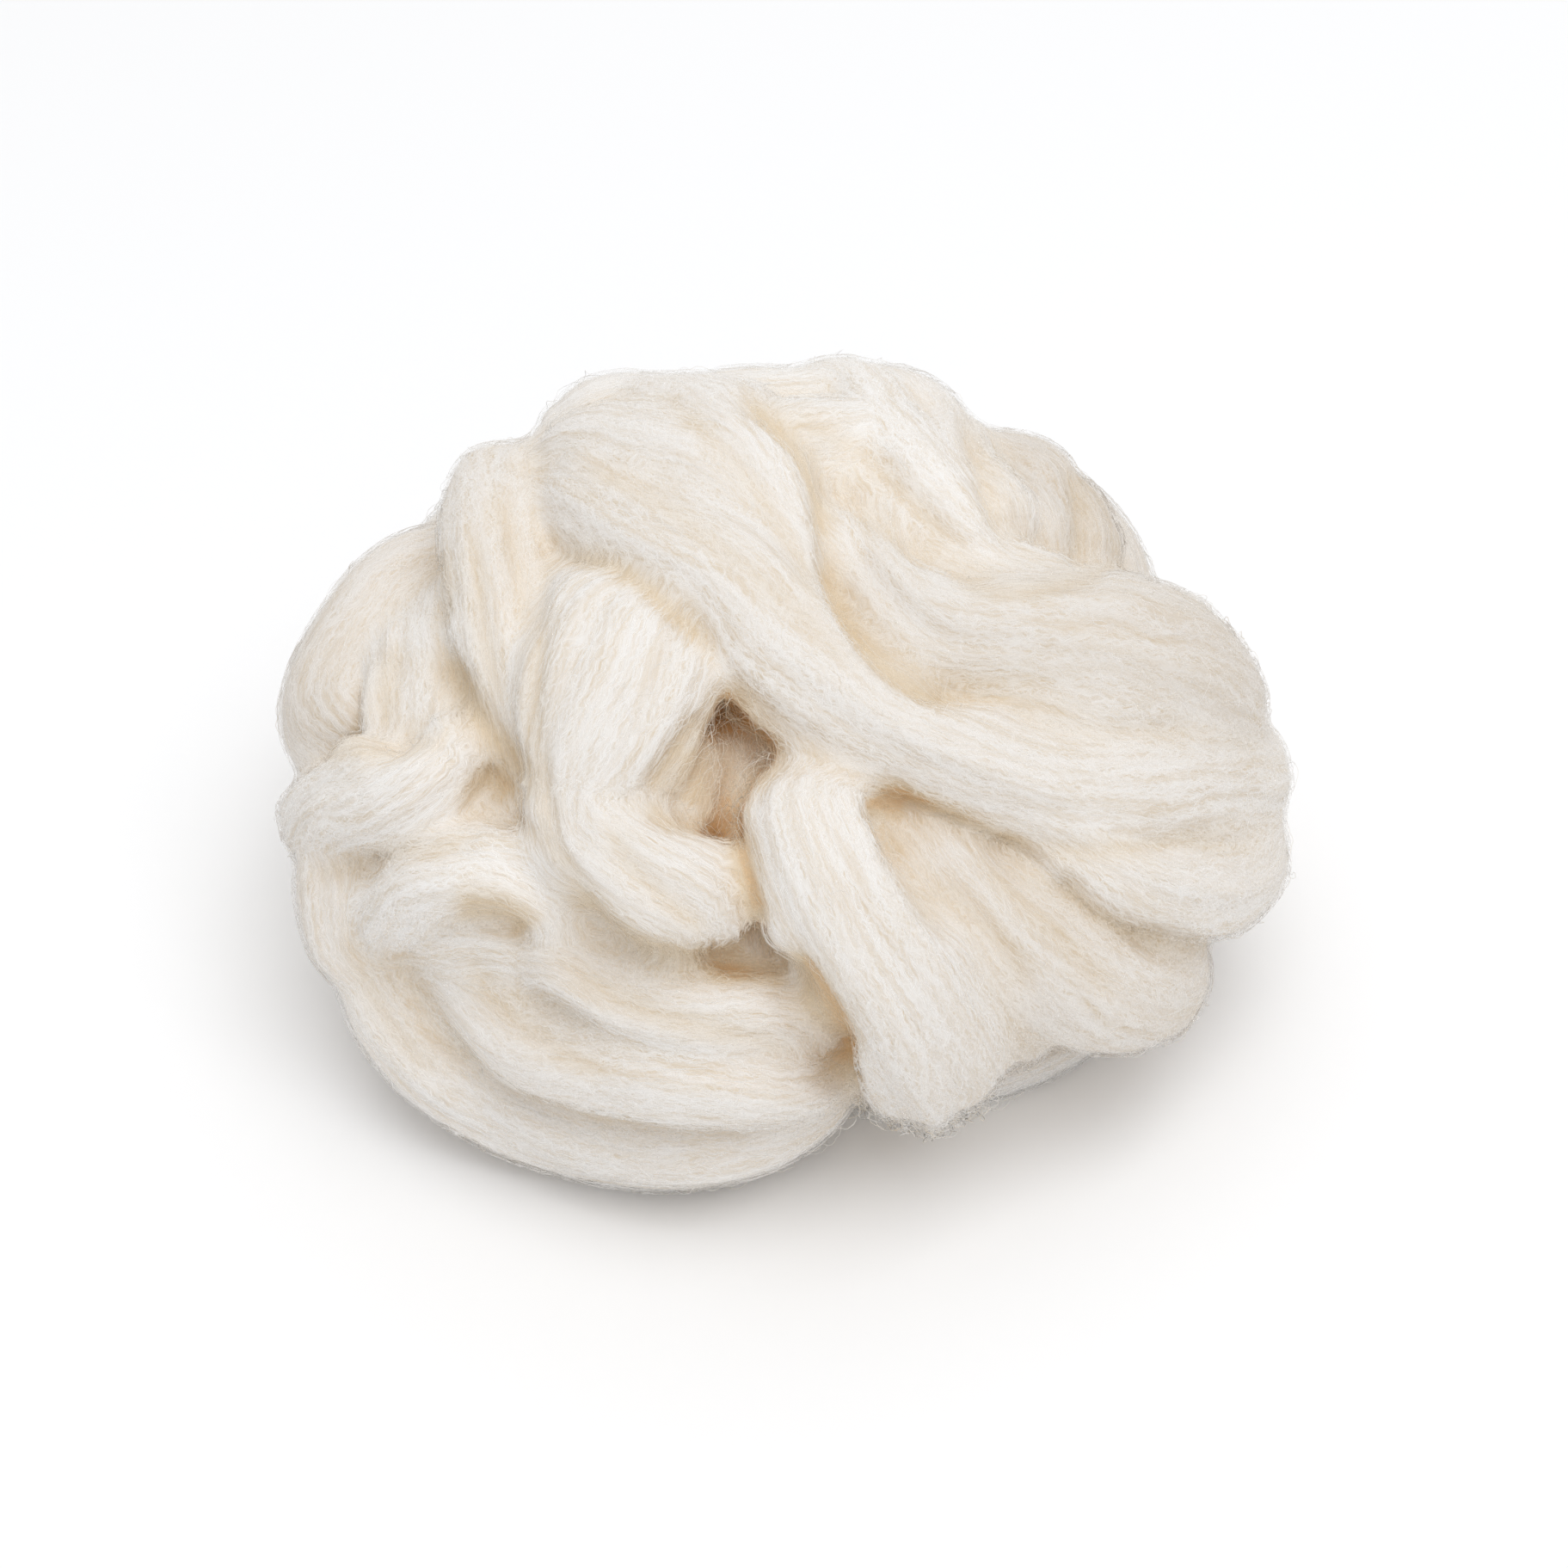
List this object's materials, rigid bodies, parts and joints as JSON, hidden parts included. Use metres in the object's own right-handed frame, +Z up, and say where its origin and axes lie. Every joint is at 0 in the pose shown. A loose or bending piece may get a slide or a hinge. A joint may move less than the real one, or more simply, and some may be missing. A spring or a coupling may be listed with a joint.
{
  "type": "wool roving",
  "caption": "Thick soft rope of combed natural wool, folded over itself into a loose rounded heap that rests on a flat spot.",
  "frame": {"origin": "middle of the heap's bounding box, on the surface it rests on", "axes": "+X along the heap's length, -Y towards its front, where the frayed end hangs down, +Z up"},
  "size_m": [0.2145, 0.2005, 0.1306],
  "materials": {
    "wool": "soft, matt, fine crimped fibres lying along the rope"
  },
  "bodies": {
    "root": {"roving": "wool"}
  },
  "joints": []
}
